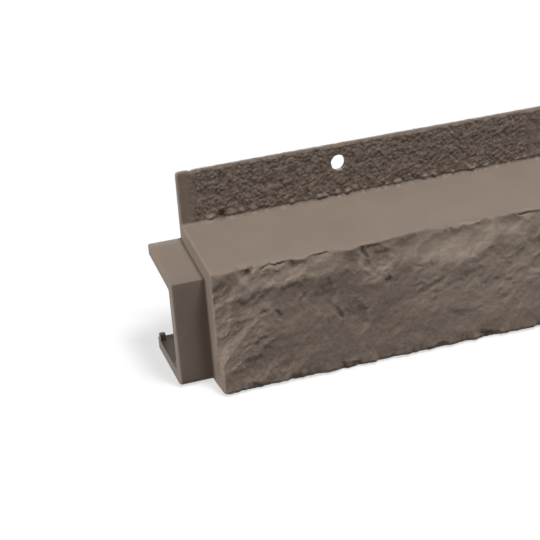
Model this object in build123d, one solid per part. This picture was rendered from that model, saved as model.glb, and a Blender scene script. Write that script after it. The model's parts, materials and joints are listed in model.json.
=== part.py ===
from build123d import *
import os
import random
from math import cos, radians, sin, tan

# Stone-look ledge trim, moulded in one piece of plastic, hollow and open at the back.
# It stands on its floor: X runs along the length, Y points back to the wall, Z points up.
# Sections are drawn in Y and Z from the line where the flange meets the ledge.
# Sizes are millimetres and degrees.

# Length
overall_length = 1066.8      # 42 in, with the overlap tab
tab_length = 13.5            # recessed end that the next piece slides over

# Section
junction_height = 48.4       # floor's underside to the foot of the flange
lean = 13.7                  # flange, tab front and face lean back
ledge_fall = 3.0             # ledge and tab top fall to the front
ledge_depth = 34.4           # foot of the flange to the front arris
wall = 4.4
flange_height = 21.5         # along the leaning flange
flange_thickness = 2.4

# Overlap tab
tab_setback = 5.9            # tab's front behind the arris of the body
tab_clearance = 1.2          # tab to the hollow of the next piece, at its top and arris
tooth_width = 2.2
tooth_depth = 2.4
tooth_height = 2.8
notch_clearance = 1.2        # tab's floor to the notched floor of the far end

# Rock face
foot_clearance = 4.6         # tab's foot to the hollow of the next piece
front_wall = 6.6             # hollow to the foremost line of the face
core = 1.2                   # plain part of the front wall, behind the relief
foot_round = 2.0             # lower front edge
facet_length = 16.5          # mean, along the face
facet_rows = 5
relief = 1.6                 # spread of the facets in and out
arris_chip = 1.4             # how far chips bite into the front arris
end_ease = 4.5               # face falls back this far at both ends
end_ease_length = 9.0

# Nail holes
nail_hole_diameter = 6.35    # 1/4 in
nail_hole_pitch = 304.8      # 12 in
nail_hole_rise = 13.7        # foot of the flange to the holes, along the flange
nail_hole_start = 67.3       # end of the body beside the tab to the first hole

# Small roundings
rim_round = 0.8
root_round = 1.0
corner_round = 1.5
tab_round = 2.4

body_length = overall_length - tab_length
rake = tan(radians(lean))
fall = tan(radians(ledge_fall))
up_y = sin(radians(lean))
up_z = cos(radians(lean))


def ledge_z(y):
    return junction_height + y * fall


def under_ledge(y, drop):
    return (y, ledge_z(y) - drop)


def back_y(z):
    return flange_thickness / up_z + (z - junction_height) * rake


def back_under_ledge(drop):
    # point of the back plane this far below the plane of the ledge
    return under_ledge((back_y(junction_height) - drop * rake) / (1 - fall * rake), drop)


def tab_front_y(z):
    return tab_arris[0] + (z - tab_arris[1]) * rake


def tab_front_under_ledge(drop, inset):
    # point this far below the ledge and this far behind the tab's front
    level = tab_front_y(junction_height - drop) + inset
    return under_ledge(level / (1 - fall * rake), drop)


def section(points, rounded):
    # closed section in the YZ plane, with the listed corners rounded
    with BuildSketch(Plane.YZ) as sketch:
        with BuildLine():
            Polyline(*points, close=True)
        make_face()
        for corner, radius in rounded:
            fillet(sketch.vertices().sort_by_distance((*corner, 0))[0], radius)
    return sketch.sketch


# Corners of the flange and the floor's back edge, in the plane that lies on the wall
junction = (0, junction_height)
flange_tip = (flange_height * up_y, junction_height + flange_height * up_z)
flange_back = (flange_tip[0] + flange_thickness * up_z, flange_tip[1] - flange_thickness * up_y)
floor_back = (back_y(0), 0)
floor_back_top = (back_y(wall), wall)

# Corners of the overlap tab, a smaller hollow of the same wall, flush with the floor
tab_drop = wall + tab_clearance
tab_arris = under_ledge(tab_setback - ledge_depth, tab_drop)
tab_foot = (tab_front_y(0), 0)
tab_back = back_under_ledge(tab_drop)
tab_back_under = back_under_ledge(tab_drop + wall)
tab_hollow_top = tab_front_under_ledge(tab_drop + wall, wall / up_z)
tab_hollow_foot = (tab_front_y(wall) + wall / up_z, wall)

# Corners of the body's hollow, and of the plain wall that carries the rock face
hollow_top = under_ledge(tab_arris[0] - tab_clearance, wall)
hollow_foot = (tab_foot[0] - foot_clearance, wall)
core_top = under_ledge(hollow_top[0] - core, 0)
core_foot = (hollow_foot[0] - core, wall)
core_sole = (hollow_foot[0], 0)
face_reach = hollow_foot[0] - front_wall

flange_rounds = [(flange_tip, rim_round), (flange_back, rim_round)]
tab_hollow_rounds = [(tab_hollow_top, corner_round), (tab_hollow_foot, corner_round)]

body_section = section(
    [
        junction,
        flange_tip,
        flange_back,
        back_under_ledge(wall),
        hollow_top,
        hollow_foot,
        floor_back_top,
        floor_back,
        core_sole,
        core_foot,
        core_top,
    ],
    [(junction, root_round), (hollow_top, corner_round), (hollow_foot, corner_round), *flange_rounds],
)
step_section = section(
    [junction, flange_tip, flange_back, floor_back, core_sole, core_foot, core_top],
    [(junction, root_round), *flange_rounds],
)
tab_section = section(
    [
        tab_back,
        tab_arris,
        tab_foot,
        floor_back,
        floor_back_top,
        tab_hollow_foot,
        tab_hollow_top,
        tab_back_under,
    ],
    [(tab_back, rim_round), (tab_arris, rim_round), (tab_foot, tab_round), *tab_hollow_rounds],
)
tab_hollow_section = section(
    [
        (floor_back_top[0] + wall, wall),
        tab_hollow_foot,
        tab_hollow_top,
        tab_back_under,
        (tab_back_under[0] + wall, tab_back_under[1]),
    ],
    tab_hollow_rounds,
)

# Hollow body, the tab, and the step wall between them
body = extrude(body_section, body_length)
step = extrude(step_section, wall) - extrude(tab_hollow_section, wall)
tab = Pos(-tab_length, 0, 0) * extrude(tab_section, tab_length + wall)

# Catch tooth that stands on the tab's floor, at its outer back corner
lower_corner = (Align.MIN, Align.MIN, Align.MIN)
tooth = Box(tooth_width, tooth_depth, wall / 2 + tooth_height, align=lower_corner)
tooth = Pos(-tab_length, floor_back[0] - tooth_depth, wall / 2) * tooth

# Rock face: facets between stations along the length, standing out most at the foot
chance = random.Random(11)
bays = round(body_length / facet_length)
stations = [0, end_ease_length / 3]
stations += [end_ease_length + (body_length - 2 * end_ease_length) * k / bays for k in range(bays + 1)]
stations += [body_length - end_ease_length / 3, body_length]


def face_profile(x):
    from_end = min(x, body_length - x) / end_ease_length
    ease = end_ease * max(0, 1 - from_end) ** 2
    arris = under_ledge(arris_chip * chance.random() - ledge_depth, 0)
    points = [under_ledge(hollow_top[0] - core / 2, 0), arris]
    foot_y = face_reach + ease * 0.3 + relief * 0.3 * chance.random()
    for row in range(1, facet_rows):
        part = row / facet_rows
        y = -ledge_depth + (face_reach + ledge_depth) * part ** 0.85 + ease * part
        y += relief * (chance.random() - 0.4) * (1 - part / 3)
        points.append((y, arris[1] + (foot_round - arris[1]) * part))
    for turn in (0, 30, 60, 90):
        y = foot_y + foot_round * (1 - cos(radians(turn)))
        points.append((y, foot_round * (1 - sin(radians(turn)))))
    points.append((hollow_foot[0] + core, 0))
    points.append((hollow_foot[0] - core / 2, wall))
    return points


profiles = []
for x in stations:
    outline = Polyline(*[(x, y, z) for y, z in face_profile(x)], close=True)
    profiles.append(make_face(outline))
rock = loft(profiles, ruled=True)

trim = body + step + tab + tooth + rock

# Nail holes through the leaning flange
flange_plane = Plane(origin=(0, 0, junction_height), x_dir=(1, 0, 0), z_dir=(0, -up_z, up_y))
nail_hole_count = 1 + int((body_length - 2 * nail_hole_start) / nail_hole_pitch)
nail_hole = Cylinder(nail_hole_diameter / 2, 4 * flange_thickness)
for k in range(nail_hole_count):
    trim -= flange_plane * Pos(nail_hole_start + k * nail_hole_pitch, nail_hole_rise, 0) * nail_hole

# Floor of the far end is cut back so that the next tab can slide in
notch_length = tab_length + notch_clearance
notch_depth = floor_back_top[0] - tab_foot[0] + 2 * notch_clearance
notch = Box(2 * notch_length, notch_depth, 2 * wall, align=lower_corner)
trim -= Pos(body_length - notch_length, tab_foot[0] - notch_clearance, -wall / 2) * notch

# Origin at the middle of the footprint, on the floor
box = trim.bounding_box()
trim = Pos(-box.center().X, -box.center().Y, -box.min.Z) * trim

os.makedirs("parts", exist_ok=True)
export_step(trim.solids()[0], "parts/ledge_trim.step")
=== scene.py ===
import json
import math

import bmesh
import bpy
import numpy as np
from mathutils import Matrix, Vector


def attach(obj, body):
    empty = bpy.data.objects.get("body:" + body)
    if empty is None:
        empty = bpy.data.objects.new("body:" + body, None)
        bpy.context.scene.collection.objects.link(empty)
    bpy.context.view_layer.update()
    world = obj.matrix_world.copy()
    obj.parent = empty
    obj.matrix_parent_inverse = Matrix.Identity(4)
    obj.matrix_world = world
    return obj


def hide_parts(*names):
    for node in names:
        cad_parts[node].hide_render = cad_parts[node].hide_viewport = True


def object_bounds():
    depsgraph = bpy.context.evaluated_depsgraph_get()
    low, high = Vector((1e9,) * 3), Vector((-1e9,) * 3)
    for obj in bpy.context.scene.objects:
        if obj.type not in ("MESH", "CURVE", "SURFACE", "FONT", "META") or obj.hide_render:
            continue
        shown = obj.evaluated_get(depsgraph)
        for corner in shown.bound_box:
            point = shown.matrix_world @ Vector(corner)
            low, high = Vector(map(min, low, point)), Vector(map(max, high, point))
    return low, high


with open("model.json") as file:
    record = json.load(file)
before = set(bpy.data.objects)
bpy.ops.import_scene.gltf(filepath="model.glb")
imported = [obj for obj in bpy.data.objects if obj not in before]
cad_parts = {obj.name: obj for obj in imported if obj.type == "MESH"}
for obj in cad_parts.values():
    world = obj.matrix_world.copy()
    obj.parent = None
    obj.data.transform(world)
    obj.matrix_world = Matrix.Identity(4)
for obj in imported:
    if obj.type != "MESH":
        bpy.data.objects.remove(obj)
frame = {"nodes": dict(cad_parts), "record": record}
cadBox = [list(corner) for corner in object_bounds()]
mounts = {mount["name"]: mount for mount in frame["record"]["mounts"]}
print("frame loaded:", ", ".join(frame["nodes"]))

# Everything up to the mesh is in millimetres, from the line where the flange meets the ledge
# at the body's left end: X along the length, Y to the wall, Z up.
perMetre = 1000.0

trim = dict(
    tabLength=13.5,
    junctionHeight=48.4,      # sole to the foot of the flange
    lean=13.7,                # flange and tab front lean back, degrees
    ledgeFall=3.0,            # ledge falls to the front, degrees
    ledgeDepth=34.4,
    wall=4.4,
    flangeHeight=21.5,
    flangeThickness=2.4,
    rimRound=0.8,
    rootRound=1.0,
    hollowRound=1.5,
    arrisRound=0.6,
    toeRound=2.0,
    faceReach=-49.77,         # foremost line of the face
    faceCurve=0.85,           # the face drops back a little quicker under the arris
    endEase=4.2,              # face falls back at both ends
    # over this length: share of the drop, length
    endEaseLengths=((0, 16), (0.45, 16), (0.56, 11), (0.62, 8), (0.72, 3.2), (0.8, 0.8), (1, 0.8)),
    endEaseCurve=1.1,
    toeEase=(0.72, 0.78, 0.95),       # the foot falls back less: share, from and to this share of the drop
    ledgeEndRound=0.9,
    arrisEndRound=0.45,       # less than the arris's own radius, or its arc would turn inside out
    # rounding of the face's end edges: share of the drop, radius
    faceEndRounds=((0, 0.45), (0.12, 0.4), (0.86, 0.4), (1, 1.5)),
    flangeEndRound=0.7,
    flangeCornerRound=1.3,
)
tabEnd = dict(
    setback=5.9,              # tab's front behind the arris
    drop=5.6,                 # tab's top under the ledge
    footRound=2.4,
    endRound=0.5,
    rootRound=0.6,            # fillet where the tab meets the step
    rootFade=(1.0, 3.0),      # it fades out this close to the wall plane
    footClearance=4.6,
    topClearance=1.2,
    notchClearance=1.2,
    toothWidth=2.2,
    toothDepth=2.4,
    toothHeight=2.8,
    toothEase=0.35,
    shade=0.55,               # painted shade: tab, step and inside are painted a little darker than the front
    # painted shade on the step's end face beside the tab, and how far from the end it fades
    stepShade=0.6,
    stepShadeLength=0.6,
)
meshing = dict(
    step=0.74,
    closeStep=0.45,
    closeLength=150.0,        # full detail up to here
    coarseStep=24,            # plain faces span this many stations
    stationGap=0.2,           # the even stations keep this far from the fixed ones
    roundingAngles=(0, 15, 30, 45, 60, 75),              # stations on the rounded ends, degrees
    tabEndStations=(0, 0.08, 0.25, 0.5),                 # from the tab's end
    tabStations=(-9.0, -6.0, -3.0),
    filletStations=(1.0, 0.66, 0.4, 0.2, 0.07, 0.0),     # shares of the fillet's radius
    toothGap=0.04,            # stations on both sides of the tooth's end
    flangeRows=44,
    footRows=(1.3, 2.0),      # rows of the ledge, this far ahead of the flange's root
    ledgeFine=7.0,            # the ledge has fine rows this close to the arris
    ledgeRows=9,
    faceRows=84,
    toeAngles=(22.5, 45, 67.5, 90),
    arrisAhead=0.05,          # the arris is rounded towards this share of the face
    evenRows=2,               # normals of the front are evened out over so many rows to each side
    holeSides=40,
    cutterLength=20.0,
    triangles=194000,
    thinnedLedge=4.0,         # thinning reaches this far behind the arris
    crease=30.0,              # edges sharper than this stay crisp, degrees
    softGrit=0.15,            # but not where this much grit is
    flatEnd=0.9999,           # faces that point along X this much are shaded flat
)


def turned(angle):
    return math.cos(math.radians(angle)), math.sin(math.radians(angle))


bodyLength = (cadBox[1][0] - cadBox[0][0]) * perMetre - trim["tabLength"]
rake = math.tan(math.radians(trim["lean"]))
fall = math.tan(math.radians(trim["ledgeFall"]))
flangeUp = np.array(turned(trim["lean"])[::-1])
flangeOut = np.array([-flangeUp[1], flangeUp[0]])
ledgeAhead = -np.array(turned(trim["ledgeFall"]))


def wallY(z):
    return trim["flangeThickness"] / flangeUp[1] + (z - trim["junctionHeight"]) * rake


def underLedge(y, drop):
    return np.array([y, trim["junctionHeight"] + y * fall - drop])


def wallUnderLedge(drop):
    return underLedge((wallY(trim["junctionHeight"]) - drop * rake) / (1 - fall * rake), drop)


# The frame says where the left end and the wall plane are
wallSeat = np.array(mounts["flange_back"]["pos_m"]) * perMetre
frameShift = np.array([
    cadBox[0][0] * perMetre + trim["tabLength"],
    wallSeat[1] - wallY(wallSeat[2]),
    cadBox[0][2] * perMetre,
])


# Small tools for outlines and relief

def smooth(value, low, high):
    t = np.clip((value - low) / (high - low), 0.0, 1.0)
    return t * t * (3.0 - 2.0 * t)


def lowered(value, share, low, high):
    return 1 - share * smooth(value, low, high)


def bell(value, centre, width):
    return np.exp(-((value - centre) / width) ** 2)


def straight(start, end, count):
    # end point left out, the next run brings it
    start, end = np.array(start, float), np.array(end, float)
    return [start + (end - start) * k / count for k in range(count)]


def rounded(at, before, after, radius, count):
    at, before, after = (np.array(p, float) for p in (at, before, after))
    back = (before - at) / np.linalg.norm(before - at)
    on = (after - at) / np.linalg.norm(after - at)
    half = math.acos(np.clip(back @ on, -1, 1)) / 2
    start = at + back * radius / math.tan(half)
    end = at + on * radius / math.tan(half)
    centre = at + (back + on) / np.linalg.norm(back + on) * radius / math.sin(half)
    first = math.atan2(*(start - centre)[::-1])
    turn = math.atan2(*(end - centre)[::-1]) - first
    turn = (turn + math.pi) % (2 * math.pi) - math.pi
    angles = [first + turn * k / count for k in range(count + 1)]
    return [centre + radius * np.array([math.cos(a), math.sin(a)]) for a in angles]


def chain(*runs):
    # runs are (zone, points); gives one outline and the zone of each of its points
    points, zones = [], []
    for zone, run in runs:
        points.extend(run)
        zones.extend([zone] * len(run))
    return np.array(points), np.array(zones)


def carried(outline, x):
    return np.repeat(outline[None], len(x), axis=0)


def outward(points):
    ahead = np.vstack([points[1:], points[-1:]])
    behind = np.vstack([points[:1], points[:-1]])
    run = ahead - behind
    run /= np.linalg.norm(run, axis=1, keepdims=True)
    return np.stack([run[:, 1], -run[:, 0]], 1)


tableSize = 256


def hashTable(seed):
    dice = np.random.RandomState(seed)
    table = dice.permutation(tableSize)
    angle = dice.uniform(0, 2 * math.pi, tableSize)
    return table, np.cos(angle), np.sin(angle), dice.uniform(0, 1, (tableSize, 3))


def shuffled(table, iu, iv):
    # a cell's own place in the table
    return table[(table[iu % tableSize] + iv) % tableSize]


def cells(u, v):
    u, v = np.broadcast_arrays(u, v)
    return u, v, np.floor(u).astype(int), np.floor(v).astype(int)


def softNoise(u, v, seed):
    # gradient noise, about -1 to 1
    table, gu, gv, _ = hashTable(seed)
    u, v, iu, iv = cells(u, v)
    fu, fv = u - iu, v - iv
    gain = 1.6

    def eased(t):
        return t ** 3 * (t * (t * 6 - 15) + 10)

    def corner(du, dv):
        k = shuffled(table, iu + du, iv + dv)
        return gu[k] * (fu - du) + gv[k] * (fv - dv)

    wu, wv = eased(fu), eased(fv)
    low = corner(0, 0) * (1 - wu) + corner(1, 0) * wu
    high = corner(0, 1) * (1 - wu) + corner(1, 1) * wu
    return gain * (low * (1 - wv) + high * wv)


def lineNoise(x, size, seed, lane):
    # soft noise along one line, each lane has its own
    return softNoise(x / size, lane, seed)


def facetNoise(u, v, seed):
    # flat triangles between random heights, about -1 to 1, with a crease along every edge
    table, _, _, chance = hashTable(seed)
    shear = (u + v) * (math.sqrt(3) - 1) / 2
    u, v, iu, iv = cells(u + shear, v + shear)
    fu, fv = u - iu, v - iv

    def height(du, dv):
        return 2 * chance[shuffled(table, iu + du, iv + dv), 2] - 1

    side = np.abs(fu - fv) * np.where(fu > fv, height(1, 0), height(0, 1))
    return (1 - np.maximum(fu, fv)) * height(0, 0) + side + np.minimum(fu, fv) * height(1, 1)


def grainNoise(u, v, seed, leastReach=0.55, leastHeight=0.4):
    # round grains of many sizes, one to a cell, 0 between them and up to 1 on top
    table, _, _, chance = hashTable(seed)
    u, v, iu, iv = cells(u, v)
    highest = np.zeros(u.shape)
    for du in (-1, 0, 1):
        for dv in (-1, 0, 1):
            pick = chance[shuffled(table, iu + du, iv + dv)]
            away = np.hypot(iu + du + pick[..., 0] - u, iv + dv + pick[..., 1] - v)
            reach = leastReach + (1 - leastReach) * pick[..., 2]
            height = leastHeight + (1 - leastHeight) * pick[..., 2]
            highest = np.maximum(highest, height * (1 - (away / reach) ** 2))
    return highest


def terraced(value, step, riser):
    # flat treads with steep risers between them
    tread = np.floor(value / step)
    return step * (tread + smooth(value / step - tread, 1.0 - riser, 1.0))


def blurred(field, reach):
    # box blur along both directions of a grid
    for axis in (0, 1):
        pad = [(0, 0), (0, 0)]
        pad[axis] = (reach + 1, reach)
        total = np.cumsum(np.pad(field, pad, mode="edge"), axis=axis)
        size = 2 * reach + 1
        upper = np.take(total, range(size, total.shape[axis]), axis=axis)
        lower = np.take(total, range(0, total.shape[axis] - size), axis=axis)
        field = (upper - lower) / size
    return field


# Outlines of the section, where the last number of a run is its count of steps

junction = np.array([0.0, trim["junctionHeight"]])
flangeTip = junction + flangeUp * trim["flangeHeight"]
flangeBack = flangeTip - flangeOut * trim["flangeThickness"]
arris = underLedge(-trim["ledgeDepth"], 0)
soleBack = np.array([wallY(0), 0])
floorBack = np.array([wallY(trim["wall"]), trim["wall"]])

tabArris = underLedge(tabEnd["setback"] - trim["ledgeDepth"], tabEnd["drop"])


def tabFrontY(z):
    return tabArris[0] + (z - tabArris[1]) * rake


def tabFrontUnderLedge(drop, inset):
    return underLedge((tabFrontY(trim["junctionHeight"] - drop) + inset) / (1 - fall * rake), drop)


tabInset = trim["wall"] / flangeUp[1]
tabBack = wallUnderLedge(tabEnd["drop"])
tabBackUnder = wallUnderLedge(tabEnd["drop"] + trim["wall"])
tabFoot = np.array([tabFrontY(0), 0])
tabHollowTop = tabFrontUnderLedge(tabEnd["drop"] + trim["wall"], tabInset)
tabHollowFoot = np.array([tabFrontY(trim["wall"]) + tabInset, trim["wall"]])
bodyBackUnder = wallUnderLedge(trim["wall"])
hollowTop = underLedge(tabArris[0] - tabEnd["topClearance"], trim["wall"])
hollowFoot = np.array([tabFoot[0] - tabEnd["footClearance"], trim["wall"]])
notchFront = tabFoot[0] - tabEnd["notchClearance"]
notchLength = trim["tabLength"] + tabEnd["notchClearance"]
toothFront = soleBack[0] - tabEnd["toothDepth"]

tabFootArc = rounded(tabFoot, tabArris, soleBack, tabEnd["footRound"], 5)
tabHollowArc = rounded(tabHollowFoot, tabHollowTop, floorBack, trim["hollowRound"], 3)
sharedSole = straight(tabFootArc[-1], soleBack, 4) + [soleBack]
toothLine = [
    np.array([toothFront, trim["wall"]]),
    np.array([toothFront + tabEnd["toothEase"], trim["wall"]]),
    np.array([soleBack[0] - tabEnd["toothEase"], trim["wall"]]),
    np.array([soleBack[0], trim["wall"]]),
    floorBack,
]
sharedFloor = straight(tabHollowArc[-1], toothLine[0], 3) + toothLine


def facePoint(part):
    z = arris[1] + (trim["toeRound"] - arris[1]) * part
    y = arris[0] + (trim["faceReach"] - arris[0]) * part ** trim["faceCurve"]
    return np.array([y, z])


rimBackArc = rounded(flangeBack, soleBack, flangeTip, trim["rimRound"], 2)
rimFrontArc = rounded(flangeTip, flangeBack, junction, trim["rimRound"], 3)
rootArc = rounded(junction, flangeTip, arris, trim["rootRound"], 3)
arrisArc = rounded(arris, junction, facePoint(meshing["arrisAhead"]), trim["arrisRound"], 2)
ledgeFine = underLedge(arris[0] + meshing["ledgeFine"], 0)
faceRun = [facePoint(k / meshing["faceRows"]) for k in range(1, meshing["faceRows"] + 1)]
toeArc = [
    trim["toeRound"] * np.array([1 - turned(a)[0], 1 - turned(a)[1]]) + (trim["faceReach"], 0)
    for a in meshing["toeAngles"]
]

bodyOuter, bodyZone = chain(
    ("rimBack", rimBackArc),
    ("rim", rimFrontArc),
    ("flange", straight(rimFrontArc[-1], rootArc[0], meshing["flangeRows"])[1:]),
    ("root", rootArc),
    ("ledge", [underLedge(rootArc[-1][0] - ahead, 0) for ahead in meshing["footRows"]]),
    ("ledge", straight(ledgeFine, arrisArc[0], meshing["ledgeRows"])),
    ("arris", arrisArc),
    ("face", faceRun),
    ("toe", toeArc),
)
bodySole = np.array([(notchFront, 0.0)] + sharedSole)
tabOuter, tabZone = chain(
    ("tab", rounded(tabBack, tabBackUnder, tabArris, trim["rimRound"], 3)),
    ("tab", straight(tabBack, tabArris, 6)[1:]),
    ("tab", rounded(tabArris, tabBack, tabFoot, trim["rimRound"], 4)),
    ("tab", straight(tabArris, tabFootArc[0], 8)[1:] + tabFootArc[:-1]),
    ("sole", sharedSole),
)
bodyInner = np.array(
    straight(bodyBackUnder, hollowTop, 5)
    + rounded(hollowTop, bodyBackUnder, hollowFoot, trim["hollowRound"], 3)
    + straight(hollowTop, hollowFoot, 6)[1:]
    + rounded(hollowFoot, hollowTop, floorBack, trim["hollowRound"], 3)
    + [np.array([notchFront, trim["wall"]])]
    + sharedFloor
)
tabInner = np.array(
    straight(tabBackUnder, tabHollowTop, 5)
    + rounded(tabHollowTop, tabBackUnder, tabHollowFoot, trim["hollowRound"], 3)
    + straight(tabHollowTop, tabHollowFoot, 6)[1:]
    + tabHollowArc[:-1]
    + sharedFloor
)


# Rock face: broad swells and facets, a brow under the arris, broken layers and crackle in places,
# hollows left by flakes, and small pits

rock = dict(
    # one seed for each kind of relief
    seeds=dict(
        marks=23, swells=23, bentX=28, bentDrop=30, facets=33, crackle=37, layers=41,
        arris=43, looseArris=44, toe=47, browLow=63, browOut=64, patches=65,
    ),
    noiseShifts=dict(swells=3.1, bentDrop=40.0, creases=7.7),# so that noises do not line up
    swells=((44.0, 0.70), (19.0, 0.34)),  # wavelength, height
    facets=((15.0, 0.48), (6.4, 0.28)),   # on the whole face: size, height
    calm=(0.12, 26.0, 40.0),              # facets are a little lower at the foot: share, from, to
    crackle=((2.8, 0.31), (1.3, 0.20)),   # where the stone is crackled
    crackleShares=(0.38, 0.62),           # on smooth stone, and how much more where it is crackled
    ragged=((5.5, 1.0), (1.9, 0.55)),     # wander of all edges: wavelength, reach
    slant=-25.0,                          # facets and layers lie along this line, degrees
    stretch=1.7,
    layerSize=6.5,
    layerHeight=0.5,
    layerStep=0.25,
    layerRiser=0.35,                      # share of a layer that is its steep edge
    layerShares=(0.2, 0.8),               # as those of the crackle
    sink=0.3,                             # the relief as a whole lies this much deeper
    onFace=(-0.3, 1.6),                   # relief sets in between these drops
    intoLedge=(-3.6, -0.2),               # and dents between these
    ledgeReach=9.0,                       # the rock moves the ledge no farther back than this
    toeRagged=((5.0, 0.5), (1.9, 0.35)),  # wander of the lower edge
    toeRaggedFrom=(-3.0, 1.5),            # it sets in around the foot
    toeCalm=(0.6, 1.0, 4.0),              # relief is lower on the underside: share, from, to
    dentRoom=2.5,                         # how far the edge of a dent can wander
    dentSlant=0.7,
    dentLimits=(0.2, 1.8),
    tilts=dict(flakes=0.6, pits=0.4),     # how much deeper dents are on one side
    arrisWander=(6.0, 0.5),               # wavelength, reach
    tongueReach=(8.0, 13.0),              # tongues fade out behind and below the arris
    patchEdge=(0.45, 1.0),                # areas fade out between these shares of their size
    browFall=13.0,                        # how quickly the brow fades downward
    paintedLitShare=0.9,                        # how strong the painted light on the lit patches is
    maskEdge=(-0.8, 1.2),                 # the rock's grain sets in between these drops
    crestSpan=4,                          # crests stand out from the mean of so many points each way; crests get painted highlight, hollows painted shade
    crestHeight=0.5,
    # painted shade on the rounded underside of the foot
    undersideShade=0.6,
    seenLength=142.0,                     # marks are listed up to here, loose ones follow
    seenFade=8.0,
    tongueFade=10.0,
    # kind, mean spacing, ranges of drop, half length, half width and depth, largest turn
    looseMarks=(
        ("flakes", 24.0, (6, 22), (6, 13), (3.5, 6.5), (0.5, 1.1), 65),
        ("flakes", 24.0, (24, 40), (6, 13), (3.5, 6.5), (0.3, 0.9), 65),
        ("flakes", 8.0, (1, 5), (4, 9), (3, 6), (0.5, 1.3), 70),
        ("flakes", 9.0, (48.3,), (4, 8), (2.2, 3), (0.4, 1), 12),
        ("pits", 11.0, (0.8, 32), (2, 6), (0.9, 1.5), (0.4, 0.9), 85),
    ),
    looseBrowLow=(9.5, 3.5, 21.0),        # mean, spread, wavelength
    looseBrowOut=(0.9, 0.6, 15.0),
    looseTongues=(11.0, 0.15, 2.4),       # wavelength, what the noise is raised by, reach
    loosePatchSize=(24.0, 15.0),
    loosePatchEdge=(-0.15, 0.45),
    loosePatchShare=0.9,
    # ridge of the brow: x, drop from the arris, how far it stands out
    brow=(
        (0.0, 13.8, 0.5), (6.5, 12.9, 0.9), (19.2, 7.4, 1.3), (28.0, 8.5, 1.2), (39.4, 8.7, 1.2),
        (47.8, 7.6, 1.0), (57.0, 8.0, 0.8), (62.3, 9.0, 0.1), (70.0, 11.0, 0.6), (86.6, 11.1, 1.1),
        (101.0, 13.9, 1.3), (111.0, 13.8, 1.3), (118.7, 12.0, 1.2), (130.0, 11.5, 1.1), (142.0, 10.0, 1.0),
    ),
    # x, drop, half length, half width, strength
    crackledAreas=(
        (6.0, 24.0, 24.0, 25.0, 0.9), (26.0, 4.0, 26.0, 6.0, 1.0), (20.0, 41.0, 14.0, 6.0, 0.7),
        (66.0, 8.0, 13.0, 13.0, 0.9), (88.0, 20.0, 10.0, 14.0, 0.7), (126.0, 20.0, 30.0, 26.0, 0.7),
    ),
    # patches that get painted light where the face catches more light: x, drop, half length, half width,
    # strength
    paintedLitAreas=(
        (6.0, 18.0, 26.0, 20.0, 0.6), (28.0, 5.0, 28.0, 9.0, 0.8), (68.0, 8.0, 12.0, 12.0, 0.6),
        (114.0, 18.0, 46.0, 32.0, 1.0),
    ),
    # x, drop, half length, half width, depth, turn in degrees
    flakes=(
        (13.0, 2.8, 5.5, 3.2, 1.0, 62), (6.0, 8.0, 9.0, 4.5, 0.4, -24), (15.0, 15.5, 13.0, 4.6, 0.4, -24),
        (33.0, 4.0, 14.0, 4.6, 0.4, 2), (33.0, 13.5, 11.0, 4.8, 0.4, -8), (43.0, 17.5, 8.0, 6.5, 0.9, 70),
        (56.0, 27.5, 8.0, 5.5, 0.9, 60), (15.5, 39.0, 11.0, 5.0, 0.6, -30), (55.0, 5.0, 7.0, 5.0, 0.7, 10),
        (67.0, 6.5, 6.0, 6.5, 1.1, 75), (80.0, 5.5, 7.0, 4.5, 0.7, -12), (100.0, 8.0, 17.0, 6.5, 1.2, -3),
        (104.0, 22.0, 8.0, 5.0, 0.3, 12), (112.0, 4.0, 6.5, 4.0, 0.8, -10),
        (119.0, 14.0, 8.0, 4.5, 0.35, -35),
        (127.0, 4.5, 6.5, 4.0, 0.8, 15), (136.0, 15.0, 7.0, 6.0, 0.5, 40), (98.0, 38.0, 13.0, 5.5, 0.25, 10),
        (14.0, 48.0, 5.0, 2.6, 0.9, 8), (29.0, 48.5, 7.0, 2.4, 0.7, -6), (52.0, 48.0, 6.0, 2.8, 0.9, 5),
        (88.0, 48.5, 8.0, 2.4, 0.8, -5), (112.0, 48.0, 5.0, 2.6, 0.9, 10),
    ),
    pits=(
        (17.7, 19.6, 2.4, 1.1, 0.55, -30), (25.0, 20.6, 3.4, 1.3, 0.55, 65),
        (30.4, 10.4, 4.0, 1.1, 0.5, -12), (35.6, 16.5, 3.8, 1.1, 0.5, -65),
        (49.6, 25.0, 4.8, 1.3, 0.65, 58), (50.0, 30.5, 2.6, 1.1, 0.5, -70),
        (62.3, 5.0, 6.0, 1.9, 0.8, 78), (70.8, 16.4, 3.0, 1.6, 0.8, -60),
        (15.0, 1.4, 4.0, 1.1, 0.8, -40), (24.0, 0.9, 6.5, 0.9, 0.7, -3),
        (44.0, 1.0, 5.0, 0.9, 0.5, 4), (133.0, 1.0, 4.5, 0.9, 0.6, 5),
    ),
    # tongues of the ledge that run on over the arris: x, half width, reach
    tongues=(
        (4.8, 4.2, 1.8), (25.0, 5.5, 0.6), (36.8, 3.6, 1.3), (56.6, 4.4, 1.9), (71.5, 5.0, 0.5),
        (100.0, 20.0, -1.8), (127.0, 9.0, -0.6),
    ),
)


def looseMarks():
    # flakes, chips and pits of the same kinds along the rest of the face
    dice = np.random.RandomState(rock["seeds"]["marks"])
    rest = bodyLength - rock["seenLength"]
    marks = dict(flakes=[], pits=[])
    for kind, gap, drops, *ranges, turn in rock["looseMarks"]:
        places = [rock["seenLength"] + (k + dice.rand()) * gap for k in range(int(rest / gap))]
        for x in places:
            drop = dice.uniform(*drops) if len(drops) == 2 else drops[0]
            sizes = [dice.uniform(*limits) for limits in ranges]
            marks[kind].append((x, drop, *sizes, dice.uniform(-turn, turn)))
    return marks


def beyondSeen(x, fade):
    # 0 where marks are listed, 1 beyond
    return smooth(x, rock["seenLength"] - fade, rock["seenLength"] + fade)


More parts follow.
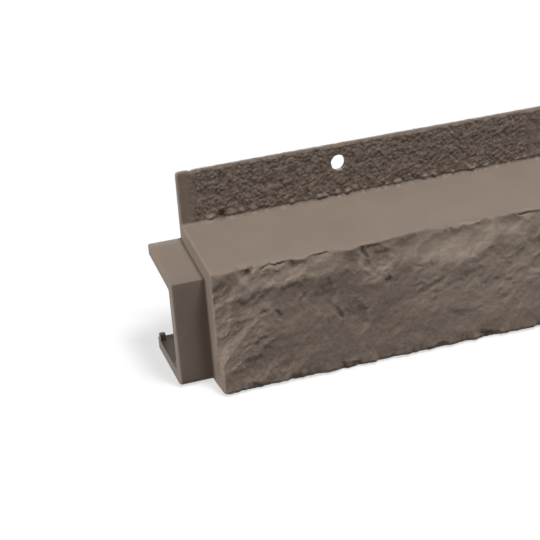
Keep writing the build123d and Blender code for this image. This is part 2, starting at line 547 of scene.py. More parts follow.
def hollowed(x, bentX, bentDrop, marks, tilt):
    # dents with one steep side, the deepest wins where they overlap
    field = np.zeros(bentX.shape)
    for atX, atDrop, length, width, depth, turn in marks:
        near = np.abs(x - atX) < max(length, width) + rock["dentRoom"]
        c, s = turned(turn)
        dx, down = bentX[near] - atX, bentDrop[near] - atDrop
        u = (dx * c + down * s) / length
        v = (down * c - dx * s) / width
        lean = np.clip(1 + tilt * (rock["dentSlant"] * u - v), *rock["dentLimits"])
        field[near] = np.minimum(field[near], -depth * np.maximum(1 - u * u - v * v, 0) * lean)
    return field


def browLift(x, drop):
    # ridge under the arris, its upper side turned to the light
    line = np.array(rock["brow"])
    beyond = beyondSeen(x, rock["seenFade"])

    def mixed(column, loose, seed, lane):
        mean, spread, size = loose
        wander = mean + spread * lineNoise(x, size, seed, lane)
        return np.interp(x, line[:, 0], line[:, column]) * (1 - beyond) + wander * beyond

    low = mixed(1, rock["looseBrowLow"], rock["seeds"]["browLow"], lane=0.5)
    out = mixed(2, rock["looseBrowOut"], rock["seeds"]["browOut"], lane=2.5)
    return out * np.clip(drop / low, 0, 1) * np.exp(-np.maximum(drop - low, 0) / rock["browFall"])


def patched(areas, x, drop):
    # 0 on smooth stone and where no painted light falls, up to 1 in the given areas, and in patches of the
    # same kind beyond
    placed = np.zeros(x.shape)
    for atX, atDrop, length, width, strength in areas:
        away = np.hypot((x - atX) / length, (drop - atDrop) / width)
        placed = np.maximum(placed, strength * (1 - smooth(away, *rock["patchEdge"])))
    long, high = rock["loosePatchSize"]
    cloud = softNoise(x / long, drop / high, rock["seeds"]["patches"])
    loose = rock["loosePatchShare"] * smooth(cloud, *rock["loosePatchEdge"])
    beyond = beyondSeen(x, rock["seenFade"])
    return placed * (1 - beyond) + loose * beyond


def rockRelief(x, drop):
    # outward relief of the face for stations x and drops below the arris, and how much painted light it gets
    alongX, down = np.meshgrid(x, drop, indexing="ij")
    seeds, shifts = rock["seeds"], rock["noiseShifts"]
    swell = sum(
        height * softNoise(alongX / size + shifts["swells"] * k, down / size, seeds["swells"] + k)
        for k, (size, height) in enumerate(rock["swells"])
    )
    bentX, bentDrop = alongX, down
    for k, (size, reach) in enumerate(rock["ragged"]):
        u, v = alongX / size, down / size
        bentX = bentX + reach * softNoise(u, v, seeds["bentX"] + k)
        bentDrop = bentDrop + reach * softNoise(u + shifts["bentDrop"], v, seeds["bentDrop"] + k)
    c, s = turned(rock["slant"])
    lengthways = (bentX * c + bentDrop * s) / rock["stretch"]
    across = bentDrop * c - bentX * s

    def creased(kind):
        return sum(
            height * facetNoise(lengthways / size, across / size + shifts["creases"] * k, seeds[kind] + k)
            for k, (size, height) in enumerate(rock[kind])
        )

    def shared(shares):
        return shares[0] + shares[1] * rough

    layerNoise = softNoise(lengthways / rock["layerSize"], across / rock["layerSize"], seeds["layers"])
    layers = terraced(rock["layerHeight"] * layerNoise, rock["layerStep"], rock["layerRiser"])
    rough = patched(rock["crackledAreas"], bentX, bentDrop)
    paintedLitPatch = patched(rock["paintedLitAreas"], bentX, bentDrop)
    calm = lowered(down, *rock["calm"])
    stone = swell + calm * creased("facets") + shared(rock["crackleShares"]) * creased("crackle")
    stone = stone + shared(rock["layerShares"]) * layers + browLift(bentX, bentDrop) - rock["sink"]
    loose = looseMarks()
    dents = sum(
        hollowed(x, bentX, bentDrop, list(rock[kind]) + loose[kind], tilt)
        for kind, tilt in rock["tilts"].items()
    )
    onFace = smooth(down, *rock["onFace"])
    intoLedge = smooth(down, *rock["intoLedge"])

    # foot of the face
    belowFace = down - arris[1]
    foot = lowered(belowFace, *rock["toeCalm"])
    edge = sum(
        height * lineNoise(alongX, size, seeds["toe"] + k, lane=4.5)
        for k, (size, height) in enumerate(rock["toeRagged"])
    )
    edge = edge * smooth(belowFace, *rock["toeRaggedFrom"])
    return foot * (onFace * stone + intoLedge * dents) + edge, paintedLitPatch * onFace


def arrisReach(x):
    # how far the ledge runs on over the arris
    size, height = rock["arrisWander"]
    reach = height * lineNoise(x, size, rock["seeds"]["arris"], lane=0.5)
    for atX, width, out in rock["tongues"]:
        reach = reach + out * bell(x, atX, width)
    size, raised, out = rock["looseTongues"]
    loose = np.maximum(0, lineNoise(x, size, rock["seeds"]["looseArris"], lane=3.3) + raised)
    return reach + out * loose * beyondSeen(x, rock["tongueFade"])


# Flange front: coarse grit, smoother beside the left end, crumbs along its foot

grit = dict(
    seeds=dict(lumps=73, fine=74, sway=75, crumbs=76, rim=79),
    shares=dict(flange=1.0, rim=0.45, root=0.6),          # a little of it goes over the rim and the root
    lump=1.2,
    lumpHeight=0.42,
    lumpMean=0.5,
    fine=0.6,
    fineHeight=0.22,
    sway=4.5,
    swayHeight=0.28,
    slant=28.0,               # grains lie along this line, degrees
    stretch=1.25,
    plainEnd=6.8,
    plainFade=(2.0, 1.5),     # before and after the plain end
    plainShares=(0.15, 0.85),             # on the plain end, and how much more on the rest
    crumbHeight=0.8,
    crumbBand=3.6,
    crumbFull=0.3,            # share of the band in which crumbs have their full height
    crumbSize=(2.6, 3.0),
    crumbEdge=(0.1, 0.6),
    # crumbs and a pit beside the left end: x, half width, height
    seenCrumbs=((12.4, 2.0, 1.2), (17.0, 1.5, -1.3), (20.8, 1.2, 0.8), (30.0, 1.4, 0.6)),
    rimFrom=0.55,             # the wavy rim moves the flange from this share of its height
    rimWobble=0.07,
    rimWaves=((2.3, 1.0), (0.9, 0.6)),    # wavelength, share
    rimFade=((2.0, 6.0), (1.0, 5.0)),     # from the left end and from the right end
    dipAt=5.9,
    dipDepth=0.5,
    dipWidth=0.9,
    shade=0.28,               # painted shade: the grit is painted a little darker than the ledge
    maskEdge=(3.0, 7.5),      # its grain and shade set in between these stations
    # painted highlight on grain tops and painted shade between grains are measured from the mean of so many
    # points each way
    crestSpan=5,
    crestHeight=0.42,
    # the painted shade between grains is this much stronger
    paintedPitShadeGain=1.2,
)


def gritRelief(x, rise):
    alongX, up = x[:, None], rise[None, :]
    seeds = grit["seeds"]
    c, s = turned(grit["slant"])
    lengthways = (alongX * c + up * s) / grit["stretch"]
    across = up * c - alongX * s
    lumps = grainNoise(lengthways / grit["lump"], across / grit["lump"], seeds["lumps"]) - grit["lumpMean"]
    fine = softNoise(across / grit["fine"], lengthways / grit["fine"], seeds["fine"])
    sway = softNoise(alongX / grit["sway"], up / grit["sway"], seeds["sway"])
    before, after = grit["plainFade"]
    least, more = grit["plainShares"]
    plain = least + more * smooth(alongX, grit["plainEnd"] - before, grit["plainEnd"] + after)
    relief = plain * (grit["lumpHeight"] * lumps + grit["fineHeight"] * fine + grit["swayHeight"] * sway)
    foot = 1 - smooth(up, grit["crumbBand"] * grit["crumbFull"], grit["crumbBand"])
    long, high = grit["crumbSize"]
    crumbNoise = softNoise(alongX / long, up / high, seeds["crumbs"])
    crumbs = smooth(crumbNoise, *grit["crumbEdge"]) * grit["crumbHeight"]
    for atX, width, height in grit["seenCrumbs"]:
        crumbs = crumbs * (1 - bell(alongX, atX, 2 * width)) + height * bell(alongX, atX, width)
    return relief + plain * foot * crumbs


def edgeRounding(distance, radius):
    # how far a rounded edge falls back at this distance from the end
    short = np.clip(radius - distance, 0, radius)
    return radius - np.sqrt(np.maximum(radius ** 2 - short ** 2, 0))


def endRounding(x, radius):
    return edgeRounding(np.minimum(x, bodyLength - x), radius)


def rimHeight(x):
    # height of the flange's top edge against its plain height
    wobble = sum(
        share * lineNoise(x, size, grit["seeds"]["rim"] + k, lane=k + 0.5)
        for k, (size, share) in enumerate(grit["rimWaves"])
    )
    left, right = grit["rimFade"]
    wobble = grit["rimWobble"] * wobble * smooth(x, *left) * smooth(bodyLength - x, *right)
    dip = grit["dipDepth"] * bell(x, grit["dipAt"], grit["dipWidth"])
    return wobble - dip - endRounding(x, trim["flangeCornerRound"])


# Body: the outline carried along the length, with relief

def bodySurface(x):
    normals = outward(bodyOuter)
    zones = bodyZone
    onFlange = np.isin(zones, ("flange", "rim", "rimBack"))
    arrisRow = int(np.argmax(zones == "arris")) + 1
    steps = np.linalg.norm(np.diff(bodyOuter, axis=0), axis=1)
    along = np.concatenate([[0], np.cumsum(steps)])
    drop = along - along[arrisRow]
    rise = (bodyOuter - junction) @ flangeUp

    points = carried(bodyOuter, x)

    # ragged top edge
    stretch = smooth(rise, trim["flangeHeight"] * grit["rimFrom"], trim["flangeHeight"]) * onFlange
    points += (rimHeight(x)[:, None] * stretch[None])[..., None] * flangeUp

    # grit on the flange's front
    gritty = np.select([zones == name for name in grit["shares"]], list(grit["shares"].values()), 0.0)
    gritLift = gritRelief(x, rise) * gritty[None]
    points += gritLift[..., None] * np.where(onFlange[:, None], normals, flangeOut)[None]

    # front: tongues of the ledge, the eased ends, then the rock's relief
    frontRows = (drop > -rock["ledgeReach"]) & np.isin(zones, ("ledge", "arris", "face", "toe"))
    lift, paintedLitPatch = np.zeros(points.shape[:2]), np.zeros(points.shape[:2])
    lift[:, frontRows], paintedLitPatch[:, frontRows] = rockRelief(x, drop[frontRows])
    part = np.clip(drop / (along[zones == "face"][-1] - along[arrisRow]), 0, 1)
    behind, below = rock["tongueReach"]
    reachFade = smooth(drop, -behind, 0.0) * (1 - smooth(drop, 0.0, below)) * frontRows
    points += (arrisReach(x)[:, None] * reachFade[None])[..., None] * ledgeAhead
    easeLength = np.interp(part, *np.array(trim["endEaseLengths"]).T)
    fromEnd = np.minimum(x, bodyLength - x)[:, None] / easeLength[None]
    easeShare = np.where(frontRows, part * lowered(part, *trim["toeEase"]), 0)
    ease = np.clip(1 - fromEnd, 0, 1) ** trim["endEaseCurve"]
    points[..., 0] += trim["endEase"] * ease * easeShare[None]
    frontNormals = np.hstack([blurred(normals[:, k:k + 1], meshing["evenRows"]) for k in (0, 1)])
    frontNormals /= np.linalg.norm(frontNormals, axis=1, keepdims=True)
    frontNormals[zones == "toe"] = (-1, 0)
    points += lift[..., None] * frontNormals[None]

    # rounded edges of both ends
    radii = np.select(
        [onFlange, np.isin(zones, ("root", "ledge")), zones == "arris"],
        [trim["flangeEndRound"], trim["ledgeEndRound"], trim["arrisEndRound"]],
        np.interp(part, *np.array(trim["faceEndRounds"]).T),
    )
    inset = np.stack([endRounding(x, r) for r in radii], 1)
    points -= inset[..., None] * normals[None]
    points[..., 1] = np.maximum(points[..., 1], 0.0)

    # masks for the material: painted shade in hollows and pits, on the foot's underside, on the step beside
    # the tab and over the grit; painted highlight on crests, grain tops and lit patches
    onRock = smooth(drop, *rock["maskEdge"]) * frontRows
    crests = (lift - blurred(lift, rock["crestSpan"])) / rock["crestHeight"]
    grains = (gritLift - blurred(gritLift, grit["crestSpan"])) / grit["crestHeight"]
    grains = grains * (gritty > 0)[None]                  # none spills on to the ledge
    # painted shade on the foot's underside, on the step's end face beside the tab and over the grit
    underside = rock["undersideShade"] * (zones == "toe")[None]
    gritMask = gritty[None] * smooth(x, *grit["maskEdge"])[:, None]
    besideTab = 1 - smooth(x, 0.0, tabEnd["stepShadeLength"])
    besideTab = tabEnd["stepShade"] * besideTab[:, None] * ~onFlange[None]
    shaded = underside + besideTab + grit["shade"] * gritMask
    masks = dict(
        rock=carried(onRock, x),
        grit=gritMask,
        hollow=np.clip(-crests, 0, 1) + np.clip(-grit["paintedPitShadeGain"] * grains, 0, 1) + shaded,
        paintedLight=np.clip(crests, 0, 1) + np.clip(grains, 0, 1) + rock["paintedLitShare"] * paintedLitPatch,
    )
    thinned = onFlange | (frontRows & (drop > -meshing["thinnedLedge"]) & (zones != "toe"))
    return points, masks, np.where(thinned)[0]


def tabSurface(x):
    normals = outward(tabOuter)
    points = carried(tabOuter, x)
    free = tabZone == "tab"
    inset = edgeRounding(x + trim["tabLength"], tabEnd["endRound"])
    spread = edgeRounding(-x, tabEnd["rootRound"])
    fromWall = wallY(tabOuter[:, 1]) - tabOuter[:, 0]
    filleted = free * smooth(fromWall, *tabEnd["rootFade"])
    shift = spread[:, None] * filleted[None] - inset[:, None] * free[None]
    points += shift[..., None] * normals[None]
    points[:, 0] = tabOuter[0]
    points[..., 1] = np.maximum(points[..., 1], 0.0)
    return points


def tabHollow(x):
    points = carried(tabInner, x)
    tooth = x < tabEnd["toothWidth"] - trim["tabLength"]
    crown = len(tabInner) - len(toothLine) + 1
    points[tooth, crown:crown + 2, 1] += tabEnd["toothHeight"]
    return points


# One closed mesh from the outlines

def stationList():
    r = trim["ledgeEndRound"]
    rounding = [r * (1 - turned(a)[0]) for a in meshing["roundingAngles"]]
    fixed = [trim["wall"], bodyLength - notchLength]
    close = np.arange(r, meshing["closeLength"], meshing["closeStep"])
    count = int((bodyLength - r - close[-1]) / meshing["step"])
    even = list(close) + list(np.linspace(close[-1], bodyLength - r, count)[1:])
    even = [x for x in even if min(abs(x - f) for f in fixed) > meshing["stationGap"]]
    return np.array(sorted(rounding + fixed + even + [bodyLength - x for x in rounding]))


def gridFaces(index):
    quads = np.stack([index[:-1, :-1], index[1:, :-1], index[1:, 1:], index[:-1, 1:]], -1)
    return quads.reshape(-1, 4).tolist()


def stripFaces(row, other):
    return gridFaces(np.stack([row, other], 1))


def bandFaces(fine, coarse, stations):
    # flat band between a fine row of points and a coarse one that meets it at the given stations
    return [
        list(fine[first:last + 1]) + [coarse[k + 1], coarse[k]]
        for k, (first, last) in enumerate(zip(stations[:-1], stations[1:]))
    ]


def buildTrim():
    bodyX = stationList()
    toothSide = tabEnd["toothWidth"] - trim["tabLength"]
    tabX = np.array(
        [-trim["tabLength"] + d for d in meshing["tabEndStations"]]
        + [toothSide - meshing["toothGap"], toothSide + meshing["toothGap"], *meshing["tabStations"]]
        + [-tabEnd["rootRound"] * k for k in meshing["filletStations"]]
    )
    webEnd = int(np.argmin(np.abs(bodyX - trim["wall"])))
    notchStart = int(np.argmin(np.abs(bodyX - (bodyLength - notchLength))))
    span = meshing["coarseStep"]
    coarse = [0, webEnd, *range(webEnd + span, notchStart - span // 2, span), notchStart, len(bodyX) - 1]
    notchStation = coarse.index(notchStart)
    webX = np.append(tabX, trim["wall"])
    soleX, hollowX = bodyX[coarse], bodyX[coarse[1:]]

    bodyPoints, masks, thinned = bodySurface(bodyX)
    parts = (
        (bodyX, bodyPoints),
        (tabX, tabSurface(tabX)),
        (soleX, carried(bodySole, soleX)),
        (hollowX, carried(bodyInner, hollowX)),
        (webX, tabHollow(webX)),
    )
    vertices, indices = [], []
    for x, points in parts:
        start = sum(len(v) for v in vertices)
        spots = np.concatenate([np.broadcast_to(x[:, None, None], points.shape[:2] + (1,)), points], -1)
        vertices.append(spots.reshape(-1, 3))
        indices.append(start + np.arange(points.shape[0] * points.shape[1]).reshape(points.shape[:2]))
    body, tab, sole, hollow, web = indices

    # the sole and the floor run through under the step
    soleCount, floorCount = len(sharedSole), len(sharedFloor)
    sole[0, 1:] = tab[-1, -soleCount:]
    hollow[0, -floorCount:] = web[-1, -floorCount:]
    notchInner = hollow.shape[1] - floorCount - 1
    tabCount = len(tabX)

    faces = gridFaces(body) + gridFaces(tab) + gridFaces(web)
    faces += gridFaces(sole[:notchStation + 1])
    faces += gridFaces(hollow[:notchStation])
    faces += gridFaces(hollow[notchStation - 1:, :notchInner + 1])
    faces += bandFaces(body[:, -1], sole[:, 0], coarse)

    # plane that lies on the wall, and the back edge of the floor
    faces += stripFaces(tab[:, 0], web[:tabCount, 0])
    faces.append(list(body[:webEnd + 1, 0]) + [hollow[0, 0], web[-1, 0], web[-2, 0], tab[-1, 0]])
    faces += bandFaces(body[:, 0], hollow[:, 0], coarse[1:])
    faces += stripFaces(tab[:, -1], web[:tabCount, -1])
    faces += stripFaces(sole[:2, -1], web[-2:, -1])
    faces += stripFaces(sole[1:notchStation + 1, -1], hollow[:notchStation, -1])

    # flat ends: tab, step, inside of the step, notch and far end
    faces.append(list(tab[0]) + list(web[0, ::-1]))
    faces.append(list(body[0]) + [sole[0, 0]] + list(tab[-1, -soleCount::-1]))
    faces.append(list(hollow[0, :-floorCount + 1]) + list(web[-1, -floorCount - 1::-1]))
    faces.append(list(sole[notchStation]) + list(hollow[notchStation - 1, :notchInner - 1:-1]))
    faces += stripFaces(sole[notchStation:, 0], hollow[notchStation - 1:, notchInner])
    faces.append(list(body[-1]) + [sole[-1, 0]] + list(hollow[-1, notchInner::-1]))

    places = np.concatenate(vertices) + frameShift
    used = np.unique(np.concatenate([np.array(face, int).ravel() for face in faces]))
    renumber = np.full(len(places), -1)
    renumber[used] = np.arange(len(used))
    faces = [[int(renumber[v]) for v in face] for face in faces]

    mesh = bpy.data.meshes.new("ledgeTrim")
    mesh.from_pydata(places[used].tolist(), [], faces)
    for name, values in masks.items():
        # the tab, sole and inside get the tab's painted shade; the body's points get their own masks
        flat = np.full(len(places), tabEnd["shade"] if name == "hollow" else 0.0)
        flat[:values.size] = np.clip(values, 0, 1).ravel()
        layer = mesh.attributes.new(name, "FLOAT", "POINT")
        layer.data.foreach_set("value", flat[used].astype(np.float32))
    return mesh, renumber[body[bodyX > meshing["closeLength"]][:, thinned].ravel()].tolist()


def newObject(name, data):
    obj = bpy.data.objects.new(name, data)
    bpy.context.scene.collection.objects.link(obj)
    return obj


def meshFrom(bm, name):
    mesh = bpy.data.meshes.new(name)
    bm.to_mesh(mesh)
    bm.free()
    return mesh


def evaluated(obj):
    graph = bpy.context.evaluated_depsgraph_get()
    mesh = bpy.data.meshes.new_from_object(obj.evaluated_get(graph))
    obj.modifiers.clear()
    obj.data = mesh


def nailCutter():
    # round bars through the flange, where the frame has its nail holes
    bm = bmesh.new()
    for name in ("nail_holes_outer", "nail_holes_inner"):
        mount = mounts[name]
        sizes = mount["dims"]
        facing = Vector(mount["axis"]).to_track_quat("Z", "Y").to_matrix().to_4x4()
        for side in (-1, 1):
            spot = Vector(mount["pos_m"]) * perMetre + Vector((side * sizes["pcd_mm"] / 2, 0, 0))
            bmesh.ops.create_cone(
                bm, cap_ends=True, segments=meshing["holeSides"], depth=meshing["cutterLength"],
                radius1=sizes["hole_r_mm"], radius2=sizes["hole_r_mm"],
                matrix=Matrix.Translation(spot) @ facing,
            )
    return newObject("nailCutter", meshFrom(bm, "nailCutter"))


def makeTrim():
    mesh, thinned = buildTrim()
    bm = bmesh.new()
    bm.from_mesh(mesh)
    bmesh.ops.triangulate(bm, faces=[f for f in bm.faces if len(f.verts) > 4], ngon_method="EAR_CLIP")
    bmesh.ops.triangulate(bm, faces=bm.faces[:], quad_method="SHORT_EDGE")
    bmesh.ops.recalc_face_normals(bm, faces=bm.faces[:])
    loose = sum(1 for edge in bm.edges if not edge.is_manifold)
    print("trim grid:", len(bm.faces), "triangles,", loose, "open edges")
    bm.to_mesh(mesh)
    bm.free()
    obj = newObject("ledgeTrimDressed", mesh)

    # only rock and grit are thinned, and in millimetres, which suit the modifiers better than metres
    obj.vertex_groups.new(name="thinned").add(thinned, 1.0, "REPLACE")
    cutter = nailCutter()
    cut = obj.modifiers.new("nailHoles", "BOOLEAN")
    cut.operation = "DIFFERENCE"
    cut.solver = "MANIFOLD"
    cut.object = cutter
    thin = obj.modifiers.new("thin", "DECIMATE")
    thin.vertex_group = "thinned"
    thin.ratio = min(1.0, meshing["triangles"] / len(mesh.polygons))
    evaluated(obj)
    bpy.data.objects.remove(cutter)
    obj.vertex_groups.clear()
    obj.data.transform(Matrix.Scale(1 / perMetre, 4))
    obj.data.shade_smooth()
    obj.data.set_sharp_from_angle(angle=math.radians(meshing["crease"]))
    softenGrit(obj.data)
    facing = np.zeros(3 * len(obj.data.polygons))
    obj.data.polygons.foreach_get("normal", facing)
    obj.data.polygons.foreach_set("use_smooth", np.abs(facing[::3]) < meshing["flatEnd"])
    print("trim dressed:", sum(len(p.vertices) - 2 for p in obj.data.polygons), "triangles")
    return obj


def softenGrit(mesh):
    # grains of the flange are rounded, so their edges stay smooth
    gritty = np.zeros(len(mesh.vertices), np.float32)
    mesh.attributes["grit"].data.foreach_get("value", gritty)
    ends = np.zeros(2 * len(mesh.edges), np.int32)
    mesh.edges.foreach_get("vertices", ends)
    sharp = np.zeros(len(mesh.edges), bool)
    marks = mesh.attributes["sharp_edge"].data
    marks.foreach_get("value", sharp)
    sharp &= gritty[ends].reshape(-1, 2).min(1) < meshing["softGrit"]
    marks.foreach_set("value", sharp)


# Shared effects as node groups

def newGroup(name, inputs, outputs):
    group = bpy.data.node_groups.new(name, "ShaderNodeTree")
    for label, kind, value in inputs:
        socket = group.interface.new_socket(label, in_out="INPUT", socket_type=kind)
        socket.default_value = value
    for label, kind in outputs:
        group.interface.new_socket(label, in_out="OUTPUT", socket_type=kind)
    nodes = group.nodes
    return group, nodes.new("NodeGroupInput"), nodes.new("NodeGroupOutput")


def addNode(tree, kind, values=None, **settings):
    node = tree.nodes.new(kind)
    for key, value in settings.items():
        setattr(node, key, value)
    for key, value in (values or {}).items():
        node.inputs[key].default_value = value
    return node


def join(source, outlet, target, inlet):
    source.id_data.links.new(source.outputs[outlet], target.inputs[inlet])


def scaled(source, outlet, factor):
    # node that gives a value times a plain number
    node = addNode(source.id_data, "ShaderNodeMath", {1: factor}, operation="MULTIPLY")
    join(source, outlet, node, 0)
    return node


def emptyTree(owner):
    owner.use_nodes = True
    owner.node_tree.nodes.clear()
    return owner.node_tree


def mottleGroup():
    # cloudy change of tone of a filled plastic: light and dark patches of a base colour
    group, enter, leave = newGroup(
        "tonePatches",
        [
            ("Position", "NodeSocketVector", (0, 0, 0)),
            ("Colour", "NodeSocketColor", (0.2, 0.15, 0.12, 1)),
            ("Scale", "NodeSocketFloat", 40.0),
            ("Amount", "NodeSocketFloat", 0.2),
        ],
        [("Colour", "NodeSocketColor"), ("Mask", "NodeSocketFloat")],
    )
    noise = addNode(group, "ShaderNodeTexNoise", {"Detail": 6.0, "Roughness": 0.62})
    spread = addNode(group, "ShaderNodeMapRange", {
        "From Min": 0.3, "From Max": 0.7, "To Min": -1.0, "To Max": 1.0,
    })
    gain = addNode(group, "ShaderNodeMath", {2: 1.0}, operation="MULTIPLY_ADD")
    tint = addNode(group, "ShaderNodeHueSaturation")
    join(enter, "Position", noise, "Vector")
    join(enter, "Scale", noise, "Scale")
    join(noise, "Fac", spread, "Value")
    join(spread, "Result", gain, 0)
    join(enter, "Amount", gain, 1)
    join(enter, "Colour", tint, "Color")
    join(gain, 0, tint, "Value")
    join(tint, "Color", leave, "Colour")
    join(spread, "Result", leave, "Mask")
    return group


def grainGroup():
    # fine moulded grain: rounded specks over a softer unevenness
    group, enter, leave = newGroup(
        "mouldGrain",
        [
            ("Position", "NodeSocketVector", (0, 0, 0)),
            ("Scale", "NodeSocketFloat", 900.0),
            ("Depth", "NodeSocketFloat", 1.0),
        ],
        [("Height", "NodeSocketFloat")],
    )
    specks = addNode(group, "ShaderNodeTexNoise", {"Detail": 4.0, "Roughness": 0.7})
    soft = addNode(group, "ShaderNodeTexNoise", {"Detail": 2.0, "Roughness": 0.5})
    softScale = scaled(enter, "Scale", 0.28)              # the unevenness is broader than the specks
    total = addNode(group, "ShaderNodeMath", operation="ADD")
    depth = addNode(group, "ShaderNodeMath", operation="MULTIPLY")
    join(enter, "Position", specks, "Vector")
    join(enter, "Position", soft, "Vector")
    join(enter, "Scale", specks, "Scale")
    join(softScale, 0, soft, "Scale")
    join(specks, "Fac", total, 0)
    join(soft, "Fac", total, 1)
    join(total, 0, depth, 0)
    join(enter, "Depth", depth, 1)
    join(depth, 0, leave, "Height")
    return group


stonePlastic = dict(
    colour=(0.210, 0.159, 0.125, 1),
    # painted shade colour for hollows, pits, the foot's underside, the step, the grit, the tab and the
    # inside
    hollowColour=(0.120, 0.088, 0.067, 1),
    # painted highlight colour for crests, grain tops and lit patches
    paintedLightColour=(0.312, 0.246, 0.196, 1),
    roughness=(0.50, 0.66),
    ior=1.5,
    specular=0.25,
    dust=0.32,                # pale bloom on slanting surfaces
    dustRoughness=0.5,
    dustTint=(1.0, 0.95, 0.87, 1),
    patchScale=55.0,
    patchAmount=0.07,
    speckScale=620.0,
    speckAmount=0.18,
    # how much of the painted shade and painted highlight colours is laid on
    hollowShare=0.62,
    paintedLightShare=0.75,
    smoothGrain=1500.0,
    smoothDepth=0.12,
    rockGrain=850.0,
    rockDepth=1.8,
    gritGrain=950.0,
    gritDepth=3.0,
    bumpDistance=0.00022,
    bumpStrength=0.8,
)


def makeStonePlastic():
    look = stonePlastic
    material = bpy.data.materials.new("stonePlastic")
    tree = emptyTree(material)
    leave = addNode(tree, "ShaderNodeOutputMaterial")
    skin = addNode(tree, "ShaderNodeBsdfPrincipled", {
        "IOR": look["ior"],
        "Specular IOR Level": look["specular"],
        "Sheen Weight": look["dust"],
        "Sheen Roughness": look["dustRoughness"],
        "Sheen Tint": look["dustTint"],
    })
    place = addNode(tree, "ShaderNodeTexCoord")
    masks = {
        name: addNode(tree, "ShaderNodeAttribute", attribute_name=name)
        for name in ("rock", "grit", "hollow", "paintedLight")
    }
    rough = addNode(tree, "ShaderNodeMath", operation="MAXIMUM")
    join(masks["rock"], "Fac", rough, 0)
    join(masks["grit"], "Fac", rough, 1)

    # colour: base, broad patches, specks on the rough parts, then painted shade in hollows and painted
    # highlight on crests and lit patches
    patches = addNode(tree, "ShaderNodeGroup", node_tree=mottleGroup())
    for label, name in (("Colour", "colour"), ("Scale", "patchScale"), ("Amount", "patchAmount")):
        patches.inputs[label].default_value = look[name]
    specks = addNode(tree, "ShaderNodeGroup", node_tree=patches.node_tree)
    specks.inputs["Scale"].default_value = look["speckScale"]
    join(place, "Object", patches, "Position")
    join(place, "Object", specks, "Position")
    join(patches, "Colour", specks, "Colour")
    join(scaled(rough, 0, look["speckAmount"]), 0, specks, "Amount")
    colour = (specks, "Colour")
    for name in ("hollow", "paintedLight"):
        blend = addNode(tree, "ShaderNodeMix", {"B": look[name + "Colour"]}, data_type="RGBA")
        join(scaled(masks[name], "Fac", look[name + "Share"]), 0, blend, "Factor")
        join(*colour, blend, "A")
        colour = (blend, "Result")
    join(*colour, skin, "Base Color")

    low, high = look["roughness"]
    mattness = addNode(tree, "ShaderNodeMapRange", {
        "From Min": -1.0, "From Max": 1.0, "To Min": low, "To Max": high,
    })
    join(patches, "Mask", mattness, "Value")
    join(mattness, "Result", skin, "Roughness")

    # grain: very fine on the smooth parts, coarser on rock and grit
    fine = addNode(tree, "ShaderNodeGroup", node_tree=grainGroup())
    fine.inputs["Scale"].default_value = look["smoothGrain"]
    fine.inputs["Depth"].default_value = look["smoothDepth"]
    join(place, "Object", fine, "Position")
    height = (fine, "Height")
    for name in ("rock", "grit"):
        grain = addNode(tree, "ShaderNodeGroup", node_tree=fine.node_tree)
        grain.inputs["Scale"].default_value = look[name + "Grain"]
        total = addNode(tree, "ShaderNodeMath", operation="ADD")
        join(place, "Object", grain, "Position")
        join(scaled(masks[name], "Fac", look[name + "Depth"]), 0, grain, "Depth")
        join(*height, total, 0)
        join(grain, "Height", total, 1)
        height = (total, 0)
    bump = addNode(tree, "ShaderNodeBump", {
        "Distance": look["bumpDistance"], "Strength": look["bumpStrength"],
    })
    join(*height, bump, "Height")
    join(bump, "Normal", skin, "Normal")
    join(skin, "BSDF", leave, "Surface")
    return material


ledgeTrim = makeTrim()
ledgeTrim.data.materials.clear()
ledgeTrim.data.materials.append(makeStonePlastic())
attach(ledgeTrim, "root")
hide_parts("ledge_trim")
print("finish done")


# Studio: pale floor, soft light from above, the left and weakly from behind, camera as in the photograph

studio = dict(
    floorSize=12.0,
    floorGap=0.0001,
    floorColour=(0.95, 0.95, 0.95, 1),
    floorWhite=0.65,                       # share of plain white for the camera, the rest has the shadow
    floorBounce=(0.20, 0.20, 0.20, 1),     # what matt surfaces see of the floor
    sky=0.12,
    aim=(0, 0, 0.03),
    # from, distance, size, power; the back lamp is low, so that the flange keeps it off the ledge
    lamps=dict(
        sideLamp=((-0.98, 0.03, 0.14), 6.0, 1.6, 255.0),
        overLamp=((0.14, -0.07, 0.97), 5.0, 1.4, 236.0),
        backLamp=((0.10, 0.99, 0.06), 6.0, 1.2, 130.0),
    ),
)
cameraView = dict(
    target=(36.93, 0.0, -28.74),           # from the junction at the body's left end
    left=20.4,                             # degrees
    above=32.73,
    distance=727.8,
    lens=120.0,
    sensor=36.0,
    farthest=50.0,
)


def seenDirectly(tree):
    # 1 for camera, glossy and transmission rays
    path = addNode(tree, "ShaderNodeLightPath")
    mirrored = addNode(tree, "ShaderNodeMath", operation="MAXIMUM")
    through = addNode(tree, "ShaderNodeMath", operation="MAXIMUM")
    join(path, "Is Camera Ray", mirrored, 0)
    join(path, "Is Glossy Ray", mirrored, 1)
    join(mirrored, 0, through, 0)
    join(path, "Is Transmission Ray", through, 1)
    return through


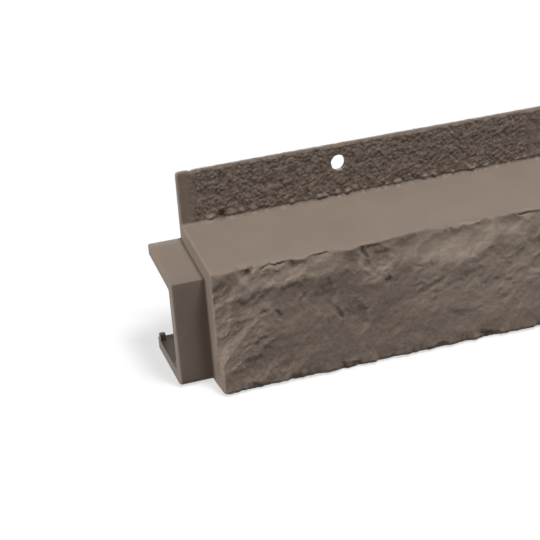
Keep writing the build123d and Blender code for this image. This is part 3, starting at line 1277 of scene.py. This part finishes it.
def makeFloor():
    bm = bmesh.new()
    bmesh.ops.create_grid(bm, x_segments=2, y_segments=2, size=studio["floorSize"] / 2)
    floor = newObject("studioFloor", meshFrom(bm, "studioFloor"))
    floor.location.z = cadBox[0][2] - studio["floorGap"]
    material = bpy.data.materials.new("paleFloor")
    tree = emptyTree(material)
    leave = addNode(tree, "ShaderNodeOutputMaterial")
    matt = addNode(tree, "ShaderNodeBsdfDiffuse")
    seen = addNode(tree, "ShaderNodeMix", {
        "A": studio["floorBounce"], "B": studio["floorColour"],
    }, data_type="RGBA")
    white = addNode(tree, "ShaderNodeEmission", {"Strength": 1.0})
    blend = addNode(tree, "ShaderNodeMixShader")
    direct = seenDirectly(tree)
    join(direct, 0, seen, "Factor")
    join(seen, "Result", matt, "Color")
    join(scaled(direct, 0, studio["floorWhite"]), 0, blend, "Fac")
    join(matt, "BSDF", blend, 1)
    join(white, "Emission", blend, 2)
    join(blend, "Shader", leave, "Surface")
    floor.data.materials.append(material)


def makeSky():
    world = bpy.data.worlds.new("studioSky")
    bpy.context.scene.world = world
    tree = emptyTree(world)
    leave = addNode(tree, "ShaderNodeOutputWorld")
    back = addNode(tree, "ShaderNodeBackground")
    level = addNode(tree, "ShaderNodeMapRange", {"To Min": studio["sky"], "To Max": 1.0})
    join(seenDirectly(tree), 0, level, "Value")
    join(level, "Result", back, "Strength")
    join(back, "Background", leave, "Surface")


def softLamp(name, place, size, power):
    lamp = bpy.data.lights.new(name, "AREA")
    lamp.shape = "SQUARE"
    lamp.size = size
    lamp.energy = power
    obj = newObject(name, lamp)
    obj.location = place
    obj.rotation_euler = (Vector(studio["aim"]) - place).to_track_quat("-Z", "Y").to_euler()


def makeCamera():
    junctionSpot = np.array([0, junction[0], junction[1]]) + frameShift
    target = Vector((junctionSpot + np.array(cameraView["target"])) / perMetre)
    side, up = math.radians(cameraView["left"]), math.radians(cameraView["above"])
    back = Vector((-math.sin(side) * math.cos(up), -math.cos(side) * math.cos(up), math.sin(up)))
    data = bpy.data.cameras.new("photoCamera")
    data.sensor_width = cameraView["sensor"]
    data.lens = cameraView["lens"]
    data.clip_end = cameraView["farthest"]
    camera = newObject("photoCamera", data)
    camera.location = target + back * cameraView["distance"] / perMetre
    camera.rotation_euler = (-back).to_track_quat("-Z", "Y").to_euler()
    bpy.context.scene.camera = camera


makeFloor()
makeSky()
makeCamera()
for lampName, (lampFrom, lampDistance, lampSize, lampPower) in studio["lamps"].items():
    softLamp(lampName, Vector(lampFrom).normalized() * lampDistance, lampSize, lampPower)
bpy.context.scene.view_settings.view_transform = "Standard"
print("studio done")
